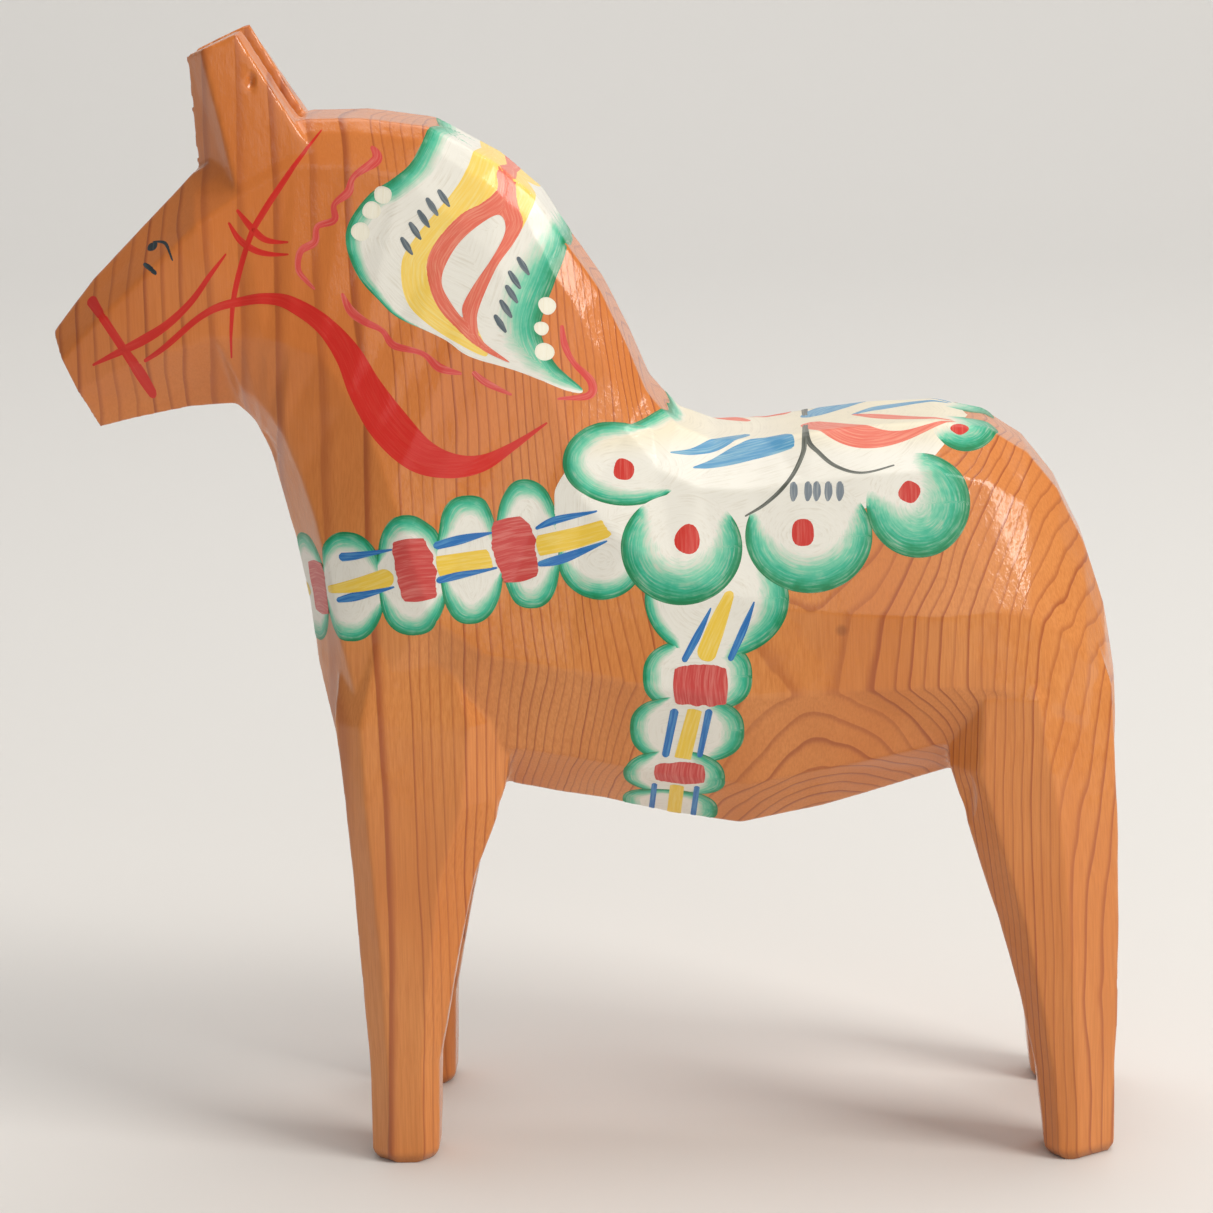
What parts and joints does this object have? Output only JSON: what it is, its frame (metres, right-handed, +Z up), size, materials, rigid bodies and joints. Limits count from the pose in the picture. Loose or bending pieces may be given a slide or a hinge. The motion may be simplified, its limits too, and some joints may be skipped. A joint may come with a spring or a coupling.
{
  "type": "carved horse figurine",
  "caption": "Carved wooden folk horse standing on straight legs, with pricked ears, arched neck and a painted mane, bridle, breast strap, saddle and girth under clear varnish.",
  "frame": {"origin": "on the ground, under the middle of the figure's bounding box", "axes": "+Z up, the horse faces -X, +Y is the horse's right"},
  "size_m": [0.187, 0.0578, 0.2],
  "materials": {
    "varnished_pine": "bare pine, knife cut, clear gloss varnish",
    "paint_white": "brushed white paint with green rims, varnished",
    "paint_red": "brushed red paint, varnished",
    "paint_yellow": "brushed yellow paint, varnished",
    "paint_blue": "brushed blue paint, varnished",
    "paint_grey": "thin grey-black paint, varnished"
  },
  "bodies": {
    "root": {"wood_body": "varnished_pine", "strap_ground": "paint_white", "saddle_ground": "paint_white", "mane_ground_left": "paint_white", "mane_ground_right": "paint_white", "mane_yellow_left": "paint_yellow", "mane_yellow_right": "paint_yellow", "mane_red_leaf_left": "paint_red", "mane_red_leaf_right": "paint_red", "mane_ticks_left": "paint_grey", "mane_ticks_right": "paint_grey", "mane_dots_left": "paint_white", "mane_dots_right": "paint_white", "mane_squiggles_left": "paint_red", "mane_squiggles_right": "paint_red", "strap_red_left": "paint_red", "strap_red_right": "paint_red", "strap_yellow_left": "paint_yellow", "strap_yellow_right": "paint_yellow", "strap_blue_left": "paint_blue", "strap_blue_right": "paint_blue", "saddle_red_dots_left": "paint_red", "saddle_red_dots_right": "paint_red", "saddle_blue_petals_left": "paint_blue", "saddle_blue_petals_right": "paint_blue", "saddle_red_petals_left": "paint_red", "saddle_red_petals_right": "paint_red", "saddle_arcs_left": "paint_grey", "saddle_arcs_right": "paint_grey", "saddle_ticks_left": "paint_grey", "saddle_ticks_right": "paint_grey", "girth_ground_left": "paint_white", "girth_ground_right": "paint_white", "girth_red_left": "paint_red", "girth_red_right": "paint_red", "girth_yellow_left": "paint_yellow", "girth_yellow_right": "paint_yellow", "girth_blue_left": "paint_blue", "girth_blue_right": "paint_blue", "bridle_left": "paint_red", "bridle_right": "paint_red", "rein_left": "paint_red", "rein_right": "paint_red", "eye_left": "paint_grey", "eye_right": "paint_grey"}
  },
  "joints": []
}
